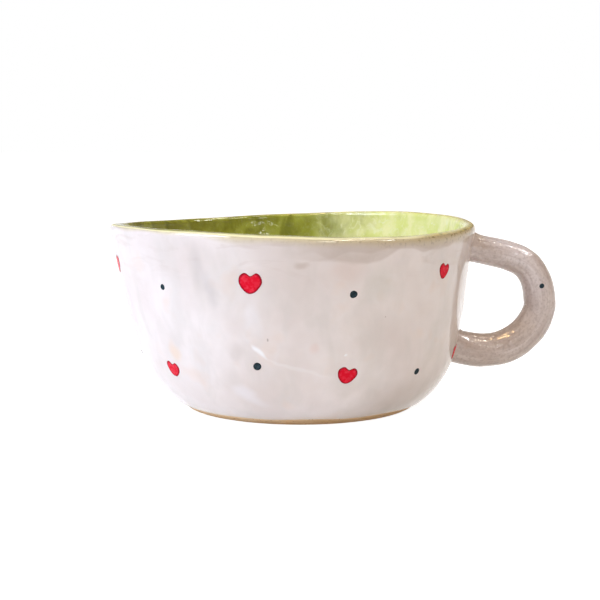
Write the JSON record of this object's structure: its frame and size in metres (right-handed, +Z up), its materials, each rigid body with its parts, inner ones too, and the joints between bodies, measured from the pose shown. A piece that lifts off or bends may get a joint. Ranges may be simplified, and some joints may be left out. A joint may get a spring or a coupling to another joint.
{
  "type": "stoneware mug",
  "caption": "Wide low hand-built stoneware mug with a rounded heel, a coil handle, a lime green lining and painted hearts and dots.",
  "frame": {"origin": "centre of the flat foot, on the table", "axes": "+Z up the cup, +X from the cup's axis towards the handle, +Y completing a right-handed frame"},
  "size_m": [0.1501, 0.1192, 0.0612],
  "materials": {
    "bare_stoneware": "bare fired clay, matt and slightly gritty",
    "stoneware_slip": "fired slip, matt",
    "white_glaze": "glossy warm white glaze",
    "lime_glaze": "glossy lime green glaze, thinner on the lip",
    "red_underglaze": "brushed red colour under clear gloss",
    "ink_underglaze": "dabbed slate blue colour under clear gloss"
  },
  "bodies": {
    "root": {"base_slab": "bare_stoneware", "wall": "bare_stoneware", "handle": "bare_stoneware", "base_slip_ring": "stoneware_slip", "upper_slip_pad": "stoneware_slip", "lower_slip_pad": "stoneware_slip", "outer_glaze": "white_glaze", "handle_glaze": "white_glaze", "lining_glaze": "lime_glaze", "heart_upper_1": "red_underglaze", "heart_upper_2": "red_underglaze", "heart_upper_3": "red_underglaze", "heart_upper_4": "red_underglaze", "heart_upper_5": "red_underglaze", "heart_lower_1": "red_underglaze", "heart_lower_2": "red_underglaze", "heart_lower_3": "red_underglaze", "heart_lower_4": "red_underglaze", "heart_lower_5": "red_underglaze", "heart_lower_6": "red_underglaze", "dot_upper_1": "ink_underglaze", "dot_upper_2": "ink_underglaze", "dot_upper_3": "ink_underglaze", "dot_upper_4": "ink_underglaze", "dot_upper_5": "ink_underglaze", "dot_lower_1": "ink_underglaze", "dot_lower_2": "ink_underglaze", "dot_lower_3": "ink_underglaze", "dot_lower_4": "ink_underglaze", "dot_lower_5": "ink_underglaze", "handle_dot_front": "ink_underglaze", "handle_dot_back": "ink_underglaze"}
  },
  "joints": []
}
